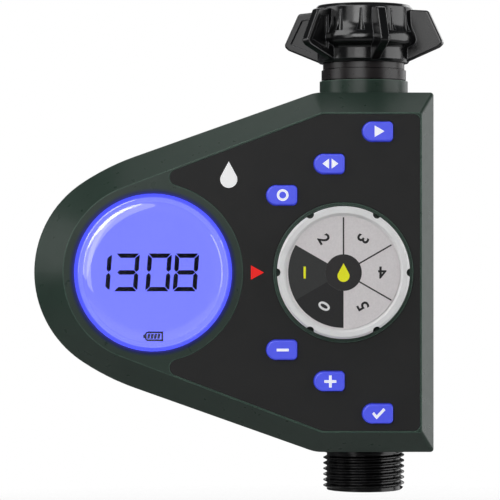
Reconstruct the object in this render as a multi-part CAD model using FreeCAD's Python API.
"""Drip irrigation timer: tap nut above, hose thread below, timer housing between.

Millimetres, +Z up along the water way, -Y towards the user. The shapes are drawn
with Z = 0 at half the housing's height, and stored with Z = 0 at the inner end of the
inlet nut's thread.
"""
import FreeCAD, Part
import math
import os

V = FreeCAD.Vector
CENTRE = V(0, 0, 0)
UP = V(0, 0, 1)

# Housing: an egg lying on its side, cut off straight on the right.
HALF_HEIGHT = 57.4
RIGHT = 21.4
NOSE_X = -71.9
NOSE_R = 34.2
NOSE_SPAN = 56.15
BLEND_R = 76.5
SIDE_SLOPE = 19.54
WALL = 2.6
CORNER_R = 1.0
KNEE_R = 12.0
FRONT_Y = -31.0
FRONT_BEVEL_Y = -21.0
REAR_BEVEL_Y = 23.0
REAR_Y = 30.0
REAR_INSET = 4.0
PARTING_GAP = 0.25
FRONT_EDGE_R = 0.9
REAR_EDGE_R = 1.6
REAR_SIDE_R = 1.2
SEAL_W = 1.1
SEAL_T = 1.4
SEAL_ROOM = 0.1

# Flat front face, inside the front bevel.
DISPLAY_X = -67.8
FACE_R = 28.4
FACE_SLOPE = 20.7
FACE_HALF_HEIGHT = 50.5
FACE_RIGHT = 17.0
FACE_KNEE_R = 3.0
LIP = 0.6
PANEL_T = 1.6
FRONT_WALL_Y = -27.4
CAVITY_FACE_INSET = 1.2
PANEL_GAP = 0.1
PANEL_TIP_R = 2.5
PANEL_CORNER_R = 2.0
ARROW_LEFT = -36.9
ARROW_TIP = -32.8
ARROW_HALF = 2.25

# Display stack.
LENS_R = 24.9
LENS_STEP_R = 23.7
LENS_STEP_BEVEL = 0.3
DOME_R = 22.3
DOME_HEIGHT = 2.4
SHOULDER_W = 5.5
SHOULDER_H = 1.7
WINDOW_R = 22.6
LCD_R = 23.4
LCD_FRAME_R = 26.0
LENS_SEAT_Y = -29.2
LCD_FRONT_Y = -27.2
LCD_BACK_Y = -25.6
STRIP_TOP = -19.5

# Program dial.
DIAL_X = -7.8
DIAL_R = 20.9
DIAL_RING_R = 22.1
DIAL_FACE_R = 17.8
DIAL_FLOOR_Y = -29.0
DIAL_FRONT_Y = -34.2
DIAL_BACK_Y = -29.3
DIAL_STEPS = 6
NOTCH_R = 1.3
SHAFT_R = 3.0
SHAFT_SEAL_R = 4.6
SHAFT_SEAL_T = 1.1
RUN_FIT = 0.02
DETENT_R = 8.0
DETENT_T = 1.4
WIPER_REACH = 10.0

# Buttons: three above and three below, on two slanted rows.
BUTTON_W = 9.55
BUTTON_H = 6.1
BUTTON_CORNER_R = 1.3
BUTTON_FRONT_Y = -32.2
BUTTON_EDGE_R = 0.5
BUTTON_FOOT_T = 0.9
BUTTON_FOOT_EDGE = 0.7
SHEET_T = 0.8
DOME_RISE = 1.85
BUTTONS = {
    "button_eco": (-27.2, 24.4),
    "button_lr": (-12.2, 34.3),
    "button_man": (3.06, 44.5),
    "button_minus": (-27.2, -24.4),
    "button_plus": (-12.2, -34.3),
    "button_ok": (3.06, -44.5),
}

# Circuit board and its screws.
BOARD_FRONT_Y = -23.6
BOARD_T = 1.6
BOARD_BOSS_R = 2.4
BOARD_BOSS_HOLE_R = 0.9
BOARD_SOCKET_H = 4.6
LEAD_R = 0.55
LEAD_END_Y = -17.35
BOARD_SCREWS = [(7.0, 31.0), (7.0, -31.0), (-34.0, 33.0), (-34.0, -33.0)]

# Housing screws, driven from the rear.
HOUSING_SCREWS = [(14.2, 47.5), (14.2, -47.5), (-33.0, 42.5), (-33.0, -42.5), (-97.5, 0.0)]
POST_R = 3.6
BOSS_R = 2.6
SCREW_HOLE_R = 1.5
SCREW_HEAD_R = 2.3
SCREW_SEAT_Y = 6.0

# G 3/4 pipe thread: 14 turns to the inch.
PITCH = 25.4 / 14
THREAD_MAJOR_R = 26.441 / 2
THREAD_MINOR_R = 24.117 / 2
CREST_W = 0.3
ROOT_W = 1.5
ROOT_SINK = 0.06

# Inlet: neck, collar, tailpiece and swivel nut.
NECK_R = 14.4
NECK_TOP = 62.1
COLLAR_R = 13.8
COLLAR_STEP_R = 13.3
COLLAR_GROOVE_R = 12.9
COLLAR_FOOT = 0.35
COLLAR_STEP = 65.7
NUT_BOTTOM = 68.1
MOUTH = 86.8
TAILPIECE_R = 11.0
TAILPIECE_BORE_R = 8.5
TAILPIECE_BOTTOM = 53.2
FLANGE_R = 13.1
FLANGE_BOTTOM = 69.2
FLANGE_TOP = 70.8
LAND_BOTTOM = 74.0
LAND_TOP = 75.4
NUT_FOOT = [(0, NUT_BOTTOM), (14.5, NUT_BOTTOM), (15.1, 69.0), (15.2, 72.4)]
NUT_BULGE = [(15.7, 73.2), (17.4, 74.0), (18.0, 75.5), (17.6, 77.3), (16.6, 79.6), (16.2, 82.5)]
NUT_TOP = [(16.1, 85.8), (15.3, MOUTH), (0, MOUTH)]
GROOVE_OFFSET = 12.0
GROOVE_FOOT_R = 1.2
GROOVE_TIP_R = 0.35
GROOVE_H = 7.2
GROOVE_X = 17.3
GROOVE_BOTTOM = 77.8
GROOVE_LEAN = V(-0.16, 0, 1)
WINGS = 6
WING_T = 3.0
WING_START = 12.5
WING_ROOT_R = 15.0
WING_TIP_R = 1.3
WING_EDGE_R = 0.6
WING_OUTLINE = [(14.3, 85.4), (21.9, 84.8), (26.9, 74.2), (25.4, 72.8), (14.3, 68.2)]
WING_POCKET = [(17.6, 82.9), (20.7, 82.6), (24.6, 74.9), (17.6, 72.1)]

# Valve: a chamber facing -X, with the solenoid beyond it.
SOCKET_R = 12.8
SOCKET_BOTTOM = 52.0
TUBE_R = 10.3
WATER_R = 8.0
OUTLET_TUBE_R = 6.6
OUTLET_PASSAGE_R = 3.9
OUTLET_END = -71.1
OUTLET_LAND_TOP = -57.6
OUTLET_LAND_BOTTOM = -58.8
OUTLET_BORE_R = 8.6
CHAMBER_FACE_X = -16.0
CHAMBER_HALF = 17.3
SEAT_X = -15.2
SEAT_BORE_R = 3.9
SEAT_R = 6.2
CHAMBER_R = 13.0
DIAPHRAGM_T = 1.2
SHEET_X = CHAMBER_FACE_X - DIAPHRAGM_T
BONNET_T = 6.6
BONNET_SCREW_YZ = 13.6
PLUNGER_R = 3.9
COIL_R = 9.6
COIL_START_X = -26.6
COIL_END_X = -37.6
GUIDE_R = 4.8
GUIDE_ROOM_R = 4.85
COIL_BORE_R = 6.2

# Battery tray: two AA cells upright, side by side, behind the display.
TRAY_X = -58.5
CELL_R = 7.2
CELL_LENGTH = 49.3
CELL_Y = 20.3
CELL_SPACING = 15.2
TRAY_HALF_W = 16.4
TRAY_HALF_H = 29.4
TRAY_T = 1.3
TRAY_FLOOR_Y = 11.4
DOOR_HALF_W = 17.8
DOOR_HALF_H = 31.0
DOOR_Y = 28.6
DOOR_CORNER_R = 4.0
CONTACT_Z = 20.0
CONTACT_T = 0.4
BAY_GAP = 0.4
BAY_WALL = 1.5
BAY_BACK_Y = TRAY_FLOOR_Y - BAY_GAP - BAY_WALL


# ---- Building blocks -------------------------------------------------------

def box(x0, x1, y0, y1, z0, z1):
    return Part.makeBox(x1 - x0, y1 - y0, z1 - z0, V(x0, y0, z0))


def centred_box(x, z, half_w, half_h, y0, y1, corner_r=0.0):
    """Plate across Y, centred on (x, z), with its four upright edges rounded."""
    plate = box(x - half_w, x + half_w, y0, y1, z - half_h, z + half_h)
    if corner_r:
        plate = plate.makeFillet(corner_r, edges_along(plate, V(0, 1, 0)))
    return plate


def rod_x(r, x0, x1, y=0.0, z=0.0):
    return Part.makeCylinder(r, abs(x1 - x0), V(min(x0, x1), y, z), V(1, 0, 0))


def rod_y(r, y0, y1, x=0.0, z=0.0):
    return Part.makeCylinder(r, y1 - y0, V(x, y0, z), V(0, 1, 0))


def rod_z(r, z0, z1, x=0.0, y=0.0):
    return Part.makeCylinder(r, z1 - z0, V(x, y, z0), UP)


def ring_y(outer, inner, y0, y1, x, z=0.0):
    return rod_y(outer, y0, y1, x, z).cut(rod_y(inner, y0 - 1, y1 + 1, x, z))


def ring_z(outer, inner, z0, z1):
    return rod_z(outer, z0, z1).cut(rod_z(inner, z0 - 1, z1 + 1))


def union(first, *others):
    return first.fuse(list(others)).removeSplitter()


def edges_along(shape, direction):
    """Straight edges of the shape that run along the direction."""
    found = []
    for edge in shape.Edges:
        way = edge.Vertexes[-1].Point.sub(edge.Vertexes[0].Point)
        if way.Length > 1e-6 and abs(way.normalize().dot(direction)) > 0.999:
            found.append(edge)
    return found


def edges_at_y(shape, y):
    return [edge for edge in shape.Edges if all(abs(v.Y - y) < 1e-4 for v in edge.Vertexes)]


def turned(profile):
    """Solid of revolution about the water axis, from (radius, height) corners."""
    corners = [V(r, 0, z) for r, z in profile]
    return Part.Face(Part.makePolygon(corners + corners[:1])).revolve(CENTRE, UP, 360)


def turned_y(profile, x, z=0.0):
    """Solid of revolution about a line along Y, from (radius, y) corners."""
    corners = [V(x + r, y, z) for r, y in profile]
    return Part.Face(Part.makePolygon(corners + corners[:1])).revolve(V(x, 0, z), V(0, 1, 0), 360)


def path(y, start, steps):
    """Edges in the plane at y: a step of one point is a line, of two an arc through the first."""
    edges = []
    here = start
    for step in steps:
        points = [V(x, y, z) for x, z in (here, *step)]
        maker = Part.LineSegment if len(step) == 1 else Part.Arc
        edges.append(maker(*points).toShape())
        here = step[-1]
    return edges


def mirrored_wire(upper):
    """Closed wire from the edges above Z = 0 and their mirror images below."""
    lower = [edge.mirror(CENTRE, UP) for edge in upper]
    return Part.Wire(Part.__sortEdges__(upper + lower))


def corner(before, tip, after, r):
    """Tangent point, middle and tangent point of the arc that rounds a corner."""
    back = V(before[0] - tip[0], 0, before[1] - tip[1]).normalize()
    ahead = V(after[0] - tip[0], 0, after[1] - tip[1]).normalize()
    half = back.getAngle(ahead) / 2
    reach = r / math.tan(half)
    inward = (back + ahead).normalize()
    depth = r / math.sin(half) - r
    marks = [back * reach, inward * depth, ahead * reach]
    return [(tip[0] + m.x, tip[1] + m.z) for m in marks]


def slant(line_point, slope, height):
    """X where a line falling to the left at the slope reaches the height."""
    return line_point[0] + (height - line_point[1]) / math.tan(math.radians(slope))


def egg(y, inset=0.0, front=False):
    """Housing outline at y: silhouette, or the flat front face, drawn in by the inset."""
    nose_x = DISPLAY_X if front else NOSE_X
    nose_r = (FACE_R if front else NOSE_R) - inset
    blend_r = (FACE_R if front else BLEND_R) - inset
    top = (FACE_HALF_HEIGHT if front else HALF_HEIGHT) - inset
    right = (FACE_RIGHT if front else RIGHT) - inset
    slope = FACE_SLOPE if front else SIDE_SLOPE
    knee_r = FACE_KNEE_R if front else KNEE_R
    spans = [math.radians(a) for a in (NOSE_SPAN / 2, NOSE_SPAN, (NOSE_SPAN + 90 - slope) / 2, 90 - slope)]

    def on_arc(x, z, r, angle):
        return (x - r * math.cos(angle), z + r * math.sin(angle))

    blend_x = nose_x + (blend_r - nose_r) * math.cos(spans[1])
    blend_z = -(blend_r - nose_r) * math.sin(spans[1])
    nose_mid = on_arc(nose_x, 0, nose_r, spans[0])
    nose_end = on_arc(nose_x, 0, nose_r, spans[1])
    blend_mid = on_arc(blend_x, blend_z, blend_r, spans[2])
    blend_end = on_arc(blend_x, blend_z, blend_r, spans[3])
    knee_tip = (slant(blend_end, slope, top), top)
    outer_tip = (right, top)
    c1, c2, c3 = corner((right, 0), outer_tip, knee_tip, CORNER_R)
    k1, k2, k3 = corner(outer_tip, knee_tip, blend_end, knee_r)
    steps = [[c1], [c2, c3], [k1], [k2, k3], [blend_end], [blend_mid, nose_end]]
    steps.append([nose_mid, (nose_x - nose_r, 0)])
    return mirrored_wire(path(y, (right, 0), steps))


def panel_wire(y, grow=0.0):
    """Control panel outline: it follows the face's lip and is hollowed round the display."""
    inset = LIP - grow
    hollow_r = FACE_R + PANEL_GAP - grow
    top = FACE_HALF_HEIGHT - inset
    right = FACE_RIGHT - inset
    tip_r = PANEL_TIP_R + grow
    normal = math.radians(90 + FACE_SLOPE)
    turn = math.acos((FACE_R - inset - tip_r) / (hollow_r + tip_r))
    heading = normal - turn

    def around(x, z, r, angle):
        return (x + r * math.cos(angle), z + r * math.sin(angle))

    tip_x, tip_z = around(DISPLAY_X, 0, hollow_r + tip_r, heading)
    tip_start = around(tip_x, tip_z, tip_r, normal)
    tip_mid = around(tip_x, tip_z, tip_r, (normal + heading + math.pi) / 2)
    tip_end = around(DISPLAY_X, 0, hollow_r, heading)
    hollow_mid = around(DISPLAY_X, 0, hollow_r, heading / 2)
    knee_tip = (slant(tip_start, FACE_SLOPE, top), top)
    c1, c2, c3 = corner((right, 0), (right, top), knee_tip, PANEL_CORNER_R + grow)
    k1, k2, k3 = corner((right, top), knee_tip, tip_start, FACE_KNEE_R)
    steps = [[c1], [c2, c3], [k1], [k2, k3], [tip_start], [tip_mid, tip_end]]
    steps.append([hollow_mid, (DISPLAY_X + hollow_r, 0)])
    return mirrored_wire(path(y, (right, 0), steps))


def slab(wire, depth):
    """Closed wire pushed along Y by the depth."""
    return Part.Face(wire).extrude(V(0, depth, 0))


def button_wire(x, z, y, grow=0.0):
    """D-shaped outline: round on the left, square with small corners on the right."""
    half = BUTTON_H / 2 + grow
    left = x - BUTTON_W / 2 - grow
    right = x + BUTTON_W / 2 + grow
    c1, c2, c3 = corner((right, z), (right, z + half), (left, z + half), BUTTON_CORNER_R + grow)
    round_x = left + half + 0.6
    bulge = (left, z)
    upper = [[c1], [c2, c3], [(round_x, z + half)]]
    lower = [(cx, 2 * z - cz) for cx, cz in (c3, c2, c1)]
    steps = upper + [[bulge, (round_x, z - half)], [lower[0]], [lower[1], lower[2]], [(right, z)]]
    return Part.Wire(path(y, (right, z), steps))


def spring(r, wire_r, pitch, turns, start, direction):
    """Open coil of round wire, whose axis leaves start along the direction."""
    coil = Part.makeHelix(pitch, pitch * turns, r)
    section = Part.Wire(Part.makeCircle(wire_r, V(r, 0, 0), V(0, 1, 0)))
    shape = Part.Wire(coil.Edges).makePipeShell([section], True, True)
    shape.Placement = FreeCAD.Placement(start, FreeCAD.Rotation(UP, direction))
    return shape


def thread_ridge(crest_r, root_r, bottom, height):
    """Right-hand ridge of the pipe thread, between its crest and root radii."""
    helix = Part.Wire(Part.makeHelix(PITCH, height, min(crest_r, root_r)).Edges)
    foot = root_r + math.copysign(ROOT_SINK, root_r - crest_r)
    corners = [(crest_r, -CREST_W / 2), (foot, -ROOT_W / 2), (foot, ROOT_W / 2), (crest_r, CREST_W / 2)]
    points = [V(r, 0, z) for r, z in corners]
    ridge = helix.makePipeShell([Part.makePolygon(points + points[:1])], True, True)
    ridge.translate(V(0, 0, bottom))
    return ridge


def tube_along(points, r):
    """Round tube along straight runs joined by tangent arcs."""
    runs = [b.sub(a) for a, b in zip(points, points[1:])]
    edges = []
    here = points[0]
    for before, after, at in zip(runs, runs[1:], points[1:]):
        turn = before.getAngle(after)
        reach = 0.45 * min(before.Length, after.Length)
        bend_r = reach / math.tan(turn / 2)
        back = V(before).normalize() * -reach
        ahead = V(after).normalize() * reach
        depth = bend_r / math.cos(turn / 2) - bend_r
        middle = at + (back + ahead).normalize() * depth
        edges.append(Part.LineSegment(here, at + back).toShape())
        edges.append(Part.Arc(at + back, middle, at + ahead).toShape())
        here = at + ahead
    edges.append(Part.LineSegment(here, points[-1]).toShape())
    section = Part.Wire(Part.makeCircle(r, points[0], runs[0]))
    return Part.Wire(edges).makePipeShell([section], True, False)


# ---- Housing ---------------------------------------------------------------

def front_form(face_inset, inset, face_y, bevel_y):
    """Solid inside the front half's surface, drawn in by the insets, up to the parting."""
    bevel = Part.makeLoft([egg(face_y, face_inset, True), egg(bevel_y, inset)], True, True)
    return bevel.fuse(slab(egg(bevel_y, inset), -PARTING_GAP - bevel_y)).removeSplitter()


def rear_form(inset, face_y, bevel_y):
    bevel = Part.makeLoft([egg(bevel_y, inset), egg(face_y, inset + REAR_INSET)], True, True)
    return bevel.fuse(slab(egg(PARTING_GAP, inset), bevel_y - PARTING_GAP)).removeSplitter()


def neck_half(front):
    """Half of the neck above the housing, open for the valve's tube."""
    neck = ring_z(NECK_R, SOCKET_R + 0.1, HALF_HEIGHT - WALL, NECK_TOP)
    reach = NECK_R + 1
    y0, y1 = (-reach, -PARTING_GAP) if front else (PARTING_GAP, reach)
    return neck.common(box(-reach, reach, y0, y1, 0, NECK_TOP + 1))


def parting_band(width, depth):
    """Band that runs round the middle of the wall, across the parting."""
    outer = slab(egg(-depth / 2, (WALL - width) / 2), depth)
    return outer.cut(slab(egg(-depth / 2, (WALL + width) / 2), depth))


def gasket_groove():
    return parting_band(SEAL_W + 2 * SEAL_ROOM, SEAL_T + 2 * SEAL_ROOM)


def water_way():
    """Room for the valve's tube and outlet through the two ends of the housing."""
    upper = rod_z(SOCKET_R + 0.1, SOCKET_BOTTOM - 0.2, NECK_TOP + 1)
    middle = rod_z(TUBE_R + 0.2, -SOCKET_BOTTOM, SOCKET_BOTTOM)
    return union(upper, middle, rod_z(THREAD_MAJOR_R + 0.3, -HALF_HEIGHT - 1, -SOCKET_BOTTOM))


def front_housing():
    outer = front_form(0, 0, FRONT_Y, FRONT_BEVEL_Y)
    outer = outer.makeFillet(FRONT_EDGE_R, edges_at_y(outer, FRONT_BEVEL_Y))
    cavity = front_form(CAVITY_FACE_INSET, WALL, FRONT_WALL_Y, FRONT_BEVEL_Y + 1)
    shell = outer.cut(cavity)
    for x, z in HOUSING_SCREWS:
        boss = rod_y(BOSS_R, FRONT_Y, -PARTING_GAP, x, z).common(outer)
        shell = shell.fuse(boss).cut(rod_y(SCREW_HOLE_R, -22.0, 1.0, x, z))
    shell = shell.fuse(neck_half(True)).cut(water_way())
    shell = shell.cut(slab(panel_wire(FRONT_Y - 1, PANEL_GAP), PANEL_T + 1))
    dial_ring = rod_y(DIAL_RING_R, FRONT_Y - 0.4, FRONT_WALL_Y, DIAL_X)
    shell = shell.fuse(dial_ring).cut(rod_y(DIAL_R + 0.3, FRONT_Y - 5, DIAL_FLOOR_Y, DIAL_X))
    shell = shell.cut(rod_y(SHAFT_R + 0.06, FRONT_Y - 5, FRONT_WALL_Y + 1, DIAL_X))
    shell = shell.cut(rod_y(SHAFT_SEAL_R, FRONT_Y - 5, DIAL_FLOOR_Y + SHAFT_SEAL_T, DIAL_X))
    shell = shell.cut(rod_y(LENS_R + 0.1, FRONT_Y - 1, LENS_SEAT_Y + 0.6, DISPLAY_X))
    shell = shell.cut(rod_y(WINDOW_R, FRONT_Y - 1, FRONT_WALL_Y + 1, DISPLAY_X))
    for x, z in BUTTONS.values():
        shell = shell.cut(slab(button_wire(x, z, FRONT_Y, 0.2), 6))
    for x, z in BOARD_SCREWS:
        boss = ring_y(BOARD_BOSS_R, BOARD_BOSS_HOLE_R, FRONT_WALL_Y, BOARD_FRONT_Y - 0.05, x, z)
        shell = shell.fuse(boss)
    return shell.cut(gasket_groove()).removeSplitter()


def bay_outline(y0, y1, grow):
    return centred_box(TRAY_X, 0, TRAY_HALF_W + grow, TRAY_HALF_H + grow, y0, y1, 1.5)


def rear_housing():
    outer = rear_form(0, REAR_Y, REAR_BEVEL_Y)
    outer = outer.makeFillet(REAR_EDGE_R, edges_at_y(outer, REAR_Y))
    outer = outer.makeFillet(REAR_SIDE_R, edges_at_y(outer, REAR_BEVEL_Y))
    cavity = rear_form(WALL, REAR_Y - WALL, REAR_BEVEL_Y - 1)
    shell = outer.cut(cavity)
    for x, z in HOUSING_SCREWS:
        post = rod_y(POST_R, PARTING_GAP, REAR_Y, x, z).common(outer)
        shell = shell.fuse(post)
        shell = shell.cut(rod_y(SCREW_HOLE_R, -1, REAR_Y + 1, x, z))
        shell = shell.cut(rod_y(SCREW_HEAD_R + 0.2, SCREW_SEAT_Y, REAR_Y + 1, x, z))
    shell = shell.fuse(bay_outline(BAY_BACK_Y, REAR_Y - 1, BAY_GAP + BAY_WALL))
    shell = shell.cut(bay_outline(TRAY_FLOOR_Y - BAY_GAP, REAR_Y + 1, BAY_GAP))
    half_w, half_h = DOOR_HALF_W + 0.3, DOOR_HALF_H + 0.3
    door_seat = centred_box(TRAY_X, 0, half_w, half_h, DOOR_Y - 0.6, REAR_Y + 1, DOOR_CORNER_R + 0.3)
    shell = shell.cut(door_seat)
    for side in (-1, 1):
        shell = shell.cut(rod_y(1.6, 0, TRAY_FLOOR_Y, TRAY_X + side * CELL_SPACING / 2, CONTACT_Z))
    shell = shell.fuse(neck_half(False)).cut(water_way())
    return shell.cut(gasket_groove()).removeSplitter()


def housing_gasket():
    """Flat seal in the parting, interrupted where the water way passes."""
    return parting_band(SEAL_W, SEAL_T).cut(water_way())


def housing_screws():
    screws = []
    for x, z in HOUSING_SCREWS:
        head = rod_y(SCREW_HEAD_R, SCREW_SEAT_Y, SCREW_SEAT_Y + 2.2, x, z)
        drive = centred_box(x, z, 1.6, 0.4, SCREW_SEAT_Y + 1.2, SCREW_SEAT_Y + 3)
        cross = centred_box(x, z, 0.4, 1.6, SCREW_SEAT_Y + 1.2, SCREW_SEAT_Y + 3)
        shank = rod_y(SCREW_HOLE_R - 0.1, -16.0, SCREW_SEAT_Y, x, z)
        screws.append(head.cut(drive).cut(cross).fuse(shank).removeSplitter())
    return Part.makeCompound(screws)


# ---- Front panel, display and pointer --------------------------------------

def arrow_wire(y, grow=0.0):
    left = ARROW_LEFT - grow
    half = ARROW_HALF + 1.7 * grow
    tip = ARROW_TIP + 2 * grow
    points = [V(left, y, half), V(tip, y, 0), V(left, y, -half)]
    return Part.makePolygon(points + points[:1])


def control_panel():
    panel = slab(panel_wire(FRONT_Y), PANEL_T - 0.05)
    panel = panel.cut(rod_y(DIAL_RING_R + 0.1, FRONT_Y - 1, FRONT_Y + 3, DIAL_X))
    for x, z in BUTTONS.values():
        panel = panel.cut(slab(button_wire(x, z, FRONT_Y - 1, 0.25), 4))
    return panel.cut(slab(arrow_wire(FRONT_Y - 1, 0.05), 1.45))


def pointer_arrow():
    return slab(arrow_wire(FRONT_Y - 0.1), 0.5)


def display_lens():
    """Clear cover: flat flange, a low bevelled step, then a dome with a rounded shoulder."""
    flange_y = FRONT_Y + 0.2
    step_y = flange_y - 2 * LENS_STEP_BEVEL
    top_y = FRONT_Y - DOME_HEIGHT
    shoulder_y = top_y + SHOULDER_H
    flat_r = DOME_R - SHOULDER_W

    def at(r, y):
        return V(DISPLAY_X + r, y, 0)

    oval = Part.Ellipse(at(DOME_R, shoulder_y), at(flat_r, top_y), at(flat_r, shoulder_y))
    shoulder = Part.ArcOfEllipse(oval, 0, math.pi / 2).toShape()
    rest = Part.makePolygon([
        at(flat_r, top_y), at(0, top_y), at(0, LENS_SEAT_Y), at(LENS_R, LENS_SEAT_Y), at(LENS_R, flange_y),
        at(LENS_STEP_R + LENS_STEP_BEVEL, flange_y), at(LENS_STEP_R - LENS_STEP_BEVEL, step_y),
        at(DOME_R, step_y), at(DOME_R, shoulder_y),
    ])
    outline = Part.Wire([shoulder] + rest.Edges)
    return Part.Face(outline).revolve(V(DISPLAY_X, 0, 0), V(0, 1, 0), 360).removeSplitter()


def lens_gasket():
    return ring_y(LENS_R, WINDOW_R + 0.2, LENS_SEAT_Y + 0.05, LENS_SEAT_Y + 0.55, DISPLAY_X)


def lcd_glass():
    return rod_y(LCD_R, LCD_FRONT_Y, LCD_BACK_Y, DISPLAY_X)


def lcd_backlight():
    guide = rod_y(LCD_R, LCD_BACK_Y + 0.1, BOARD_FRONT_Y - 0.15, DISPLAY_X)
    room = centred_box(DISPLAY_X, -LENS_R, LENS_R, LENS_R + STRIP_TOP + 0.3, FRONT_WALL_Y, BOARD_FRONT_Y)
    return guide.cut(room)


def lcd_connector():
    """Striped rubber strip that joins the glass to the board."""
    strip = box(DISPLAY_X - 11, DISPLAY_X + 11, LCD_BACK_Y + 0.05, BOARD_FRONT_Y - 0.05, -21.6, STRIP_TOP)
    return strip.common(rod_y(LCD_R, FRONT_WALL_Y, BOARD_FRONT_Y, DISPLAY_X))


def lcd_frame():
    frame = ring_y(LCD_FRAME_R, LCD_R + 0.2, FRONT_WALL_Y + 0.1, BOARD_FRONT_Y - 0.1, DISPLAY_X)
    for side in (-1, 1):
        lug = centred_box(DISPLAY_X, side * 25.4, 4.0, 1.2, FRONT_WALL_Y + 1.5, BOARD_FRONT_Y - 0.1)
        frame = frame.fuse(lug)
    return frame.cut(rod_y(LCD_R + 0.2, FRONT_WALL_Y, BOARD_FRONT_Y, DISPLAY_X)).removeSplitter()


# ---- Dial ------------------------------------------------------------------

def dial_knob():
    """Dished disc with six notches round its rim, and a shaft behind."""
    profile = [(0, DIAL_FRONT_Y + 1.2), (DIAL_FACE_R + 0.1, DIAL_FRONT_Y + 1.2)]
    profile += [(DIAL_FACE_R + 0.9, DIAL_FRONT_Y), (DIAL_R - 0.7, DIAL_FRONT_Y), (DIAL_R, DIAL_FRONT_Y + 0.7)]
    profile += [(DIAL_R, DIAL_BACK_Y), (0, DIAL_BACK_Y)]
    knob = turned_y(profile, DIAL_X)
    for step in range(DIAL_STEPS):
        angle = math.radians(step * 360 / DIAL_STEPS)
        x = DIAL_X + (DIAL_R + 0.2) * math.cos(angle)
        z = (DIAL_R + 0.2) * math.sin(angle)
        knob = knob.cut(rod_y(NOTCH_R, DIAL_FRONT_Y - 1, DIAL_BACK_Y + 1, x, z))
    shaft = rod_y(SHAFT_R, DIAL_BACK_Y, BOARD_FRONT_Y - 0.4, DIAL_X)
    return knob.fuse(shaft).removeSplitter()


def dial_face():
    """Printed disc in the knob's dish."""
    return rod_y(DIAL_FACE_R, DIAL_FRONT_Y + 0.8, DIAL_FRONT_Y + 1.2, DIAL_X)


def dial_seal():
    back = DIAL_FLOOR_Y + SHAFT_SEAL_T - 0.05
    return ring_y(SHAFT_SEAL_R - 0.1, SHAFT_R + 0.06, DIAL_FLOOR_Y, back, DIAL_X)


def dial_clip():
    """Spring clip that keeps the shaft from pulling out."""
    clip = ring_y(5.0, SHAFT_R + RUN_FIT, FRONT_WALL_Y + 0.1, FRONT_WALL_Y + 0.7, DIAL_X)
    return clip.cut(box(DIAL_X - 1.6, DIAL_X + 1.6, FRONT_WALL_Y, FRONT_WALL_Y + 1, -6, -2))


def detent_wheel():
    y0 = FRONT_WALL_Y + 0.8
    y1 = y0 + DETENT_T
    wheel = ring_y(DETENT_R, SHAFT_R + RUN_FIT, y0, y1, DIAL_X)
    for step in range(DIAL_STEPS):
        angle = math.radians(90 + step * 360 / DIAL_STEPS)
        x = DIAL_X + (DETENT_R + 0.4) * math.cos(angle)
        dent = rod_y(1.2, y0 - 1, y1 + 1, x, (DETENT_R + 0.4) * math.sin(angle))
        wheel = wheel.cut(dent)
    return wheel


def detent_spring():
    """Leaf spring above the wheel, with a round nose resting in a dent."""
    y0 = FRONT_WALL_Y + 1.0
    y1 = y0 + 1.0
    leaf = box(DIAL_X - 9, DIAL_X + 9, y0, y1, 9.0, 9.5)
    nose = rod_y(1.0, y0, y1, DIAL_X, 8.5)
    feet = [box(DIAL_X + s - 0.6, DIAL_X + s + 0.6, y0, BOARD_FRONT_Y, 9.0, 9.5) for s in (-8.4, 8.4)]
    return union(leaf, nose, *feet)


def dial_wiper():
    """Contact rotor: a hub with three sprung fingers over the board's tracks."""
    y0 = BOARD_FRONT_Y - 1.35
    rotor = ring_y(4.4, SHAFT_R + RUN_FIT, y0, y0 + 0.9, DIAL_X)
    for turn in range(3):
        finger = box(DIAL_X + 4.0, DIAL_X + WIPER_REACH, y0, y0 + 0.4, -0.9, 0.9)
        tip = box(DIAL_X + WIPER_REACH - 1.2, DIAL_X + WIPER_REACH, y0, BOARD_FRONT_Y - 0.1, -0.9, 0.9)
        finger = finger.fuse(tip)
        finger.rotate(V(DIAL_X, 0, 0), V(0, 1, 0), 30 + 120 * turn)
        rotor = rotor.fuse(finger)
    return rotor.cut(rod_y(SHAFT_R + RUN_FIT, y0 - 1, y0 + 2, DIAL_X)).removeSplitter()


# ---- Buttons and circuit board ---------------------------------------------

def button(x, z):
    """Cap with softened front edge, on a wider foot behind the wall."""
    cap = slab(button_wire(x, z, BUTTON_FRONT_Y), FRONT_WALL_Y + 0.1 - BUTTON_FRONT_Y)
    cap = cap.makeFillet(BUTTON_EDGE_R, edges_at_y(cap, BUTTON_FRONT_Y))
    foot = slab(button_wire(x, z, FRONT_WALL_Y + 0.1, BUTTON_FOOT_EDGE), BUTTON_FOOT_T)
    return cap.fuse(foot).removeSplitter()


def keypad_membrane():
    """Silicone sheet with one dome behind each button."""
    y1 = BOARD_FRONT_Y - 0.05
    y0 = y1 - SHEET_T
    domes = []
    strips = []
    for side in (-1, 1):
        row = [(x, z) for x, z in BUTTONS.values() if z * side > 0]
        for x, z in row:
            strips.append(centred_box(x, z, 6.2, 4.2, y0, y1))
            dome = Part.makeCone(2.0, 3.2, DOME_RISE, V(x, y0 - DOME_RISE, z), V(0, 1, 0))
            domes.append(dome)
        for (xa, za), (xb, zb) in zip(row, row[1:]):
            link = centred_box((xa + xb) / 2, (za + zb) / 2, 4.0, 6.0, y0, y1)
            strips.append(link)
    bridge = box(-30.0, -27.0, y0, y1, -21.0, 21.0)
    return union(strips[0], *strips[1:], *domes, bridge)


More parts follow.
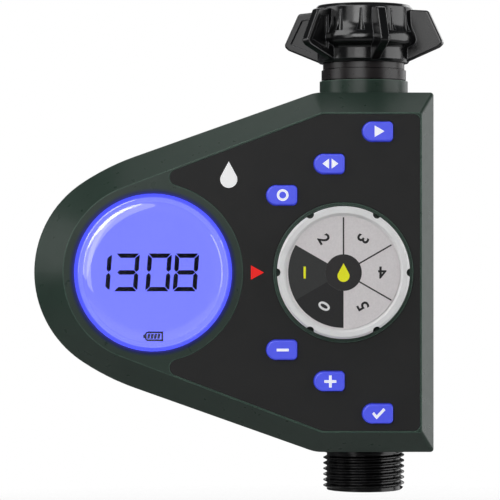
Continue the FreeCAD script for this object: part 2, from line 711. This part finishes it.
def main_board():
    y0 = BOARD_FRONT_Y
    y1 = y0 + BOARD_T
    board = box(-38.0, 9.5, y0, y1, -38.0, 38.0)
    tongue = box(-4.0, 9.5, y0, y1, -49.0, 49.0)
    bridge = box(DISPLAY_X, -37.0, y0, y1, -18.0, 18.0)
    disc = rod_y(25.0, y0, y1, DISPLAY_X)
    board = union(board, tongue, bridge, disc)
    for x, z in BOARD_SCREWS:
        board = board.cut(rod_y(1.2, y0 - 1, y1 + 1, x, z))
    return board


def board_screws():
    y1 = BOARD_FRONT_Y + BOARD_T
    screws = []
    for x, z in BOARD_SCREWS:
        head = rod_y(2.0, y1, y1 + 1.3, x, z)
        slot = centred_box(x, z, 1.5, 0.3, y1 + 0.7, y1 + 2)
        shank = rod_y(0.85, FRONT_WALL_Y + 0.6, y1, x, z)
        screws.append(head.cut(slot).fuse(shank).removeSplitter())
    return Part.makeCompound(screws)


def board_chips():
    """Controller, driver, crystal and capacitors on the board's rear face."""
    y0 = BOARD_FRONT_Y + BOARD_T
    chips = [
        centred_box(-52.0, 8.0, 5.0, 5.0, y0, y0 + 1.6),
        centred_box(-26.0, 24.0, 2.5, 3.2, y0, y0 + 1.5),
        centred_box(-30.0, -10.0, 2.2, 4.0, y0, y0 + 2.4),
        centred_box(-58.0, -10.0, 4.0, 1.8, y0, y0 + 2.0),
        rod_y(3.1, y0, y0 + 4.4, -26.0, -28.0),
        rod_y(3.1, y0, y0 + 4.4, -14.0, -30.0),
    ]
    return Part.makeCompound(chips)


def wire_sockets():
    """Plug-in sockets for the battery and solenoid leads."""
    y0 = BOARD_FRONT_Y + BOARD_T
    return Part.makeCompound([
        centred_box(-74.0, 12.0, 3.2, 2.4, y0, y0 + BOARD_SOCKET_H),
        centred_box(-36.0, 20.0, 3.2, 2.4, y0, y0 + BOARD_SOCKET_H),
    ])


# ---- Valve -----------------------------------------------------------------

def facing_plate(x0, x1):
    """Rounded square across the X axis, with four ears for the bonnet's screws."""
    plate = box(x0, x1, -CHAMBER_HALF, CHAMBER_HALF, -CHAMBER_HALF, CHAMBER_HALF)
    return plate.makeFillet(3.6, edges_along(plate, V(1, 0, 0)))


def bonnet_screw_places():
    return [(y, z) for y in (-BONNET_SCREW_YZ, BONNET_SCREW_YZ) for z in (-BONNET_SCREW_YZ, BONNET_SCREW_YZ)]


def valve_body():
    """Tube from inlet to outlet, with a diaphragm chamber and seat between them."""
    body = rod_z(TUBE_R, 0, SOCKET_BOTTOM).fuse(rod_z(OUTLET_TUBE_R, -SOCKET_BOTTOM, 0))
    body = body.fuse(rod_z(SOCKET_R, SOCKET_BOTTOM, NECK_TOP))
    body = body.fuse(rod_z(SOCKET_R, OUTLET_LAND_TOP, -SOCKET_BOTTOM))
    body = body.fuse(facing_plate(CHAMBER_FACE_X, CHAMBER_FACE_X + 4.5))
    body = body.fuse(rod_x(16.2, CHAMBER_FACE_X, 0))
    body = body.fuse(rod_z(THREAD_MAJOR_R, OUTLET_LAND_BOTTOM, OUTLET_LAND_TOP))
    body = body.fuse(rod_z(THREAD_MINOR_R, OUTLET_END, OUTLET_LAND_BOTTOM))
    cavity = rod_x(CHAMBER_R, CHAMBER_FACE_X - 1, CHAMBER_FACE_X + 5.5)
    seat = rod_x(SEAT_R, SEAT_X, CHAMBER_FACE_X + 7)
    body = body.cut(cavity.cut(seat))
    body = body.cut(rod_z(TAILPIECE_R + 0.05, TAILPIECE_BOTTOM - 0.1, NECK_TOP + 1))
    body = body.cut(rod_z(WATER_R, 11.5, SOCKET_BOTTOM + 2))
    body = body.cut(box(CHAMBER_FACE_X + 3, 0, -5, 5, 9.3, 12.5))
    body = body.cut(rod_x(SEAT_BORE_R, SEAT_X - 1, 2))
    body = body.cut(rod_z(OUTLET_PASSAGE_R, OUTLET_END - 1, 2.5))
    body = body.cut(rod_z(OUTLET_BORE_R, OUTLET_END - 1, OUTLET_LAND_TOP))
    for y, z in bonnet_screw_places():
        body = body.cut(rod_x(1.3, CHAMBER_FACE_X - 1, CHAMBER_FACE_X + 4, y, z))
    ridge = thread_ridge(THREAD_MAJOR_R, THREAD_MINOR_R, OUTLET_END + 0.4, 11.4)
    tapered = turned([(0, OUTLET_END), (12.3, OUTLET_END), (13.4, OUTLET_END + 1.2),
                      (13.4, OUTLET_LAND_TOP - 0.4), (0, OUTLET_LAND_TOP - 0.4)])
    return body.fuse(ridge.common(tapered).Solids).removeSplitter()


def inlet_collar():
    """Two-step ring between the neck and the nut, with a groove under each step."""
    bottom = NECK_TOP + 0.05
    core = ring_z(COLLAR_GROOVE_R, TAILPIECE_R + 0.3, bottom, NUT_BOTTOM - 0.1)
    lower = ring_z(COLLAR_R, TAILPIECE_R + 0.3, bottom + COLLAR_FOOT, COLLAR_STEP)
    upper = ring_z(COLLAR_STEP_R, TAILPIECE_R + 0.3, COLLAR_STEP + COLLAR_FOOT, NUT_BOTTOM - 0.1)
    return core.fuse(lower).fuse(upper).removeSplitter()


def inlet_tailpiece():
    """Flanged tube that carries the nut and is cemented into the valve body."""
    tube = rod_z(TAILPIECE_R, TAILPIECE_BOTTOM, FLANGE_BOTTOM + 0.1)
    flange = rod_z(FLANGE_R, FLANGE_BOTTOM, FLANGE_TOP)
    piece = tube.fuse(flange).cut(rod_z(TAILPIECE_BORE_R, 40, FLANGE_TOP + 1))
    return piece.cut(rod_z(9.7, FLANGE_TOP - 0.8, FLANGE_TOP + 1)).removeSplitter()


def inlet_washer():
    return ring_z(13.2, 8.8, FLANGE_TOP + 0.05, LAND_BOTTOM - 0.2)


def filter_screen():
    """Conical strainer hanging in the tailpiece, with rows of long slots."""
    top = FLANGE_TOP - 0.1
    outer = turned([(0, 54.0), (3.6, 54.0), (7.9, 68.0), (7.9, top - 0.6), (9.5, top - 0.6),
                    (9.5, top), (0, top)])
    inner = turned([(0, 54.8), (3.0, 54.8), (7.1, 68.2), (7.1, top + 1), (0, top + 1)])
    screen = outer.cut(inner)
    for turn in range(12):
        slot = box(2.0, 9.0, -0.55, 0.55, 56.2, 66.8)
        slot.rotate(CENTRE, UP, 30 * turn)
        screen = screen.cut(slot)
    return screen


def wing_plate(outline, y0, y1):
    corners = [V(r, y0, z) for r, z in outline]
    return Part.Face(Part.makePolygon(corners + corners[:1])).extrude(V(0, y1 - y0, 0))


def inlet_nut():
    """Winged swivel nut with a right-hand inside thread."""
    straight = Part.makePolygon([V(r, 0, z) for r, z in NUT_TOP + NUT_FOOT])
    bulge = Part.BSplineCurve()
    bulge.interpolate([V(r, 0, z) for r, z in [NUT_FOOT[-1]] + NUT_BULGE + [NUT_TOP[0]]])
    outline = Part.Wire([bulge.toShape()] + straight.Edges)
    nut = Part.Face(outline).revolve(CENTRE, UP, 360)
    for number in range(WINGS):
        spacing = 360 / WINGS
        wing = wing_plate(WING_OUTLINE, -WING_T / 2, WING_T / 2)
        tips = [edge for edge in edges_along(wing, V(0, 1, 0)) if edge.Vertexes[0].X > WING_ROOT_R]
        wing = wing.makeFillet(WING_TIP_R, tips)
        wing = wing.makeFillet(WING_EDGE_R, wing.Edges)
        wing = wing.cut(wing_plate(WING_POCKET, WING_T / 2 - 0.9, WING_T))
        wing.rotate(CENTRE, UP, WING_START - 90 + number * spacing)
        nut = nut.fuse(wing)
        for offset in (-GROOVE_OFFSET, GROOVE_OFFSET):
            foot = V(GROOVE_X, 0, GROOVE_BOTTOM)
            groove = Part.makeCone(GROOVE_FOOT_R, GROOVE_TIP_R, GROOVE_H, foot, GROOVE_LEAN)
            groove.rotate(CENTRE, UP, WING_START - 90 + (number + 0.5) * spacing + offset)
            nut = nut.cut(groove)
    hollow = turned([(0, NUT_BOTTOM - 1), (TAILPIECE_R + 0.3, NUT_BOTTOM - 1), (TAILPIECE_R + 0.3, 69.1),
                     (13.6, 69.1), (13.6, LAND_BOTTOM), (THREAD_MINOR_R, LAND_BOTTOM),
                     (THREAD_MINOR_R, LAND_TOP), (THREAD_MAJOR_R, LAND_TOP), (THREAD_MAJOR_R, MOUTH - 1.0),
                     (14.2, MOUTH), (14.2, MOUTH + 1), (0, MOUTH + 1)])
    ridge = thread_ridge(THREAD_MINOR_R, THREAD_MAJOR_R, LAND_TOP + 0.3, 9.2)
    return nut.cut(hollow).fuse(ridge).removeSplitter()


def diaphragm():
    """Rubber disc held at its rim, with a convolution between rim and seat."""
    x0 = SHEET_X
    rim = rod_x(15.2, x0, CHAMBER_FACE_X).cut(rod_x(12.0, x0 - 1, CHAMBER_FACE_X + 1))
    fold = Part.makeTorus(10.6, 1.5, V(x0 + 0.6, 0, 0), V(1, 0, 0))
    fold = fold.cut(Part.makeTorus(10.6, 0.7, V(x0 + 0.6, 0, 0), V(1, 0, 0)))
    fold = fold.cut(box(x0 + 0.6, 0, -20, 20, -20, 20))
    web = rod_x(12.1, x0, x0 + 0.8).cut(rod_x(11.7, x0 - 1, x0 + 2))
    centre = rod_x(9.5, x0, x0 + 0.8).cut(rod_x(2.6, x0 - 1, x0 + 2))
    return union(rim, web, fold, centre)


def valve_poppet():
    """Stiff disc that closes the seat, with a stem for the spring behind."""
    face_x = SEAT_X - 0.05
    front = rod_x(8.0, face_x, SHEET_X + 0.85)
    stem = rod_x(2.5, SHEET_X - 1.0, face_x)
    back = rod_x(7.6, SHEET_X - 1.2, SHEET_X - 0.05)
    return union(front, stem, back, rod_x(2.5, SHEET_X - 2.4, SHEET_X - 1.0))


def poppet_spring():
    return spring(4.6, 0.3, 1.05, 3.0, V(SHEET_X - 1.55, 0, 0), V(-1, 0, 0))


def valve_bonnet():
    """Cover of the chamber, with the solenoid's guide tube."""
    x1 = SHEET_X
    cover = facing_plate(x1 - BONNET_T, x1)
    cover = cover.cut(rod_x(12.0, x1 - 5.0, x1 + 1))
    guide = rod_x(GUIDE_R, COIL_END_X - 0.6, x1 - 6.0)
    cover = cover.fuse(guide).cut(rod_x(PLUNGER_R + 0.1, COIL_END_X + 0.4, x1 - 5.8))
    cover = cover.cut(rod_x(0.8, x1 - 6.2, x1 - 4.8))
    for y, z in bonnet_screw_places():
        cover = cover.cut(rod_x(1.6, x1 - 8, x1 + 1, y, z))
    return cover.removeSplitter()


def bonnet_screws():
    seat_x = SHEET_X - BONNET_T
    screws = []
    for y, z in bonnet_screw_places():
        head = rod_x(2.6, seat_x - 1.8, seat_x, y, z)
        slot = box(seat_x - 3, seat_x - 1.0, y - 2, y + 2, z - 0.35, z + 0.35)
        shank = rod_x(1.25, seat_x, CHAMBER_FACE_X + 3.0, y, z)
        screws.append(head.cut(slot).fuse(shank).removeSplitter())
    return Part.makeCompound(screws)


def solenoid_bobbin():
    room = rod_x(COIL_R + 1, COIL_END_X + 0.8, COIL_START_X - 0.8)
    room = room.cut(rod_x(COIL_BORE_R, COIL_END_X, COIL_START_X))
    core = rod_x(GUIDE_ROOM_R, COIL_END_X - 1, COIL_START_X + 1)
    return rod_x(COIL_R, COIL_END_X, COIL_START_X).cut(room).cut(core)


def solenoid_coil():
    winding = rod_x(COIL_R - 0.4, COIL_END_X + 0.85, COIL_START_X - 0.85)
    return winding.cut(rod_x(COIL_BORE_R + 0.05, COIL_END_X, COIL_START_X))


def solenoid_yoke():
    """U-shaped steel bracket round the coil."""
    reach = COIL_R + 0.2
    thickness = 1.2
    near = COIL_START_X + 0.05
    far = COIL_END_X - 0.05
    yoke = box(far - thickness, near + thickness, -6.5, 6.5, -reach - thickness, reach + 0.2)
    yoke = yoke.cut(box(far, near, -8, 8, -reach, reach + 1))
    yoke = yoke.cut(rod_x(GUIDE_ROOM_R, near - 1, near + thickness + 1))
    return yoke.cut(rod_x(GUIDE_ROOM_R, far - 0.7, far + 1))


def solenoid_plunger():
    """Iron rod in the guide tube, with a narrow nose towards the pilot hole."""
    nose_x = SHEET_X - BONNET_T - 0.15
    rod = rod_x(PLUNGER_R, COIL_END_X + 4.4, nose_x - 0.9)
    nose = rod_x(2.0, nose_x - 1.0, nose_x - 0.25)
    pocket = rod_x(2.6, COIL_END_X + 4.0, COIL_END_X + 7.0)
    return rod.fuse(nose).cut(pocket).removeSplitter()


def plunger_seal():
    nose_x = SHEET_X - BONNET_T - 0.15
    return rod_x(1.6, nose_x - 0.25, nose_x + 0.75)


def plunger_spring():
    return spring(2.1, 0.25, 1.3, 4.0, V(COIL_END_X + 6.4, 0, 0), V(-1, 0, 0))


def solenoid_wires():
    """Two leads from the coil to the board's solenoid socket."""
    leads = []
    for x, z in ((-30.6, 20.8), (-29.2, 19.2)):
        points = [V(x, 0, 9.3), V(x, 0, 15.0), V(-36.0, -9.0, z), V(-36.0, LEAD_END_Y, z)]
        leads.append(tube_along(points, LEAD_R))
    return Part.makeCompound(leads)


# ---- Batteries -------------------------------------------------------------

def cell_columns():
    return [TRAY_X - CELL_SPACING / 2, TRAY_X + CELL_SPACING / 2]


def battery_tray():
    """Door with a five-sided drawer for the cells, and three grip ribs outside."""
    tray = centred_box(TRAY_X, 0, TRAY_HALF_W, TRAY_HALF_H, TRAY_FLOOR_Y, DOOR_Y + 0.1, 1.1)
    inside = centred_box(TRAY_X, 0, TRAY_HALF_W - TRAY_T, TRAY_HALF_H - TRAY_T, TRAY_FLOOR_Y + TRAY_T, DOOR_Y)
    door = centred_box(TRAY_X, 0, DOOR_HALF_W, DOOR_HALF_H, DOOR_Y, REAR_Y, DOOR_CORNER_R)
    door = door.makeFillet(0.4, edges_at_y(door, REAR_Y))
    tray = tray.cut(inside).fuse(door)
    side_window = box(TRAY_X - 30, TRAY_X + 30, TRAY_FLOOR_Y + 4, DOOR_Y - 3, -18, 18)
    tray = tray.cut(side_window)
    for z in (-26.0, -23.5, -21.0):
        tray = tray.fuse(centred_box(TRAY_X, z, 8.0, 0.6, REAR_Y - 0.5, REAR_Y + 0.9))
    for x in cell_columns():
        tray = tray.cut(rod_y(1.2, TRAY_FLOOR_Y - 1, TRAY_FLOOR_Y + TRAY_T + 0.5, x, CONTACT_Z))
    return tray.removeSplitter()


def tray_gasket():
    half_w, half_h = DOOR_HALF_W - 0.1, DOOR_HALF_H - 0.1
    seal = centred_box(TRAY_X, 0, half_w, half_h, DOOR_Y - 0.5, DOOR_Y - 0.05, DOOR_CORNER_R - 0.1)
    return seal.cut(centred_box(TRAY_X, 0, TRAY_HALF_W + 0.1, TRAY_HALF_H + 0.1, DOOR_Y - 2, DOOR_Y + 1, 1.2))


def battery_cells():
    cells = []
    for side, x in zip((1, -1), cell_columns()):
        half = CELL_LENGTH / 2
        can = rod_z(CELL_R, -half, half, x, CELL_Y)
        can = can.makeFillet(0.5, [edge for edge in can.Edges if isinstance(edge.Curve, Part.Circle)])
        nub_z = half if side > 0 else -half - 1.1
        cells.append(can.fuse(rod_z(2.7, nub_z, nub_z + 1.1, x, CELL_Y)))
    return Part.makeCompound(cells)


def battery_springs():
    """Coil contacts at each cell's flat end."""
    coils = []
    for side, x in zip((1, -1), cell_columns()):
        start = V(x, CELL_Y, -side * (TRAY_HALF_H - TRAY_T - 0.9))
        coils.append(spring(3.6, 0.4, 1.05, 2.0, start, V(0, 0, side)))
    return Part.makeCompound(coils)


def contact_plates():
    """Sprung brass plates at the nub ends, and the bar that joins the cells."""
    plates = []
    for side, x in zip((1, -1), cell_columns()):
        inner = TRAY_HALF_H - TRAY_T
        z0 = side * (inner - CONTACT_T - 0.05)
        low, high = sorted((z0, z0 + side * CONTACT_T))
        plates.append(box(x - 5.5, x + 5.5, CELL_Y - 5, CELL_Y + 5, low, high))
        low, high = sorted((-z0, -z0 - side * CONTACT_T))
        plates.append(box(x - 4.5, x + 4.5, CELL_Y - 5, CELL_Y + 5, low, high))
    return Part.makeCompound(plates)


def bay_contacts():
    """Sprung pins through the bay's back wall."""
    pins = []
    for x in cell_columns():
        pin = rod_y(1.5, BAY_BACK_Y - 1.4, BAY_BACK_Y + BAY_WALL, x, CONTACT_Z)
        pin = pin.fuse(rod_y(0.9, BAY_BACK_Y + BAY_WALL - 0.1, TRAY_FLOOR_Y - 0.05, x, CONTACT_Z))
        head = rod_y(2.2, BAY_BACK_Y - 1.4, BAY_BACK_Y - 0.05, x, CONTACT_Z)
        pins.append(pin.fuse(head).removeSplitter())
    return Part.makeCompound(pins)


def battery_wires():
    """Two leads from the bay's pins to the board's battery socket."""
    back = BAY_BACK_Y - 1.45
    leads = []
    for x, end_x in zip(cell_columns(), (-74.8, -73.2)):
        points = [V(x, back, CONTACT_Z), V(x, back - 6.0, CONTACT_Z)]
        points += [V(end_x, -8.0, 12.0), V(end_x, LEAD_END_Y, 12.0)]
        leads.append(tube_along(points, LEAD_R))
    return Part.makeCompound(leads)


# ---- Output ----------------------------------------------------------------

SHAPES = {
    "front_housing": front_housing,
    "rear_housing": rear_housing,
    "housing_gasket": housing_gasket,
    "housing_screws": housing_screws,
    "control_panel": control_panel,
    "pointer_arrow": pointer_arrow,
    "display_lens": display_lens,
    "lens_gasket": lens_gasket,
    "lcd_glass": lcd_glass,
    "lcd_backlight": lcd_backlight,
    "lcd_connector": lcd_connector,
    "lcd_frame": lcd_frame,
    "dial_knob": dial_knob,
    "dial_face": dial_face,
    "dial_seal": dial_seal,
    "dial_clip": dial_clip,
    "detent_wheel": detent_wheel,
    "detent_spring": detent_spring,
    "dial_wiper": dial_wiper,
    "keypad_membrane": keypad_membrane,
    "main_board": main_board,
    "board_screws": board_screws,
    "board_chips": board_chips,
    "wire_sockets": wire_sockets,
    "valve_body": valve_body,
    "inlet_collar": inlet_collar,
    "inlet_tailpiece": inlet_tailpiece,
    "inlet_washer": inlet_washer,
    "filter_screen": filter_screen,
    "inlet_nut": inlet_nut,
    "diaphragm": diaphragm,
    "valve_poppet": valve_poppet,
    "poppet_spring": poppet_spring,
    "valve_bonnet": valve_bonnet,
    "bonnet_screws": bonnet_screws,
    "solenoid_bobbin": solenoid_bobbin,
    "solenoid_coil": solenoid_coil,
    "solenoid_yoke": solenoid_yoke,
    "solenoid_plunger": solenoid_plunger,
    "plunger_seal": plunger_seal,
    "plunger_spring": plunger_spring,
    "solenoid_wires": solenoid_wires,
    "battery_tray": battery_tray,
    "tray_gasket": tray_gasket,
    "battery_cells": battery_cells,
    "battery_springs": battery_springs,
    "contact_plates": contact_plates,
    "bay_contacts": bay_contacts,
    "battery_wires": battery_wires,
}


def write(name, shape):
    """Store a shape with the inner end of the inlet thread at Z = 0."""
    shape.translate(V(0, 0, -LAND_TOP))
    shape.exportStep(os.path.join("parts", name + ".step"))
    bounds = shape.BoundBox
    print(f"{name}: {len(shape.Solids)} solids, valid {shape.isValid()}, volume {shape.Volume:.0f}, "
          f"X {bounds.XMin:.1f} {bounds.XMax:.1f}, Y {bounds.YMin:.1f} {bounds.YMax:.1f}, "
          f"Z {bounds.ZMin:.1f} {bounds.ZMax:.1f}")


os.makedirs("parts", exist_ok=True)
for name, make in SHAPES.items():
    write(name, make())
for name, (x, z) in BUTTONS.items():
    write(name, button(x, z))
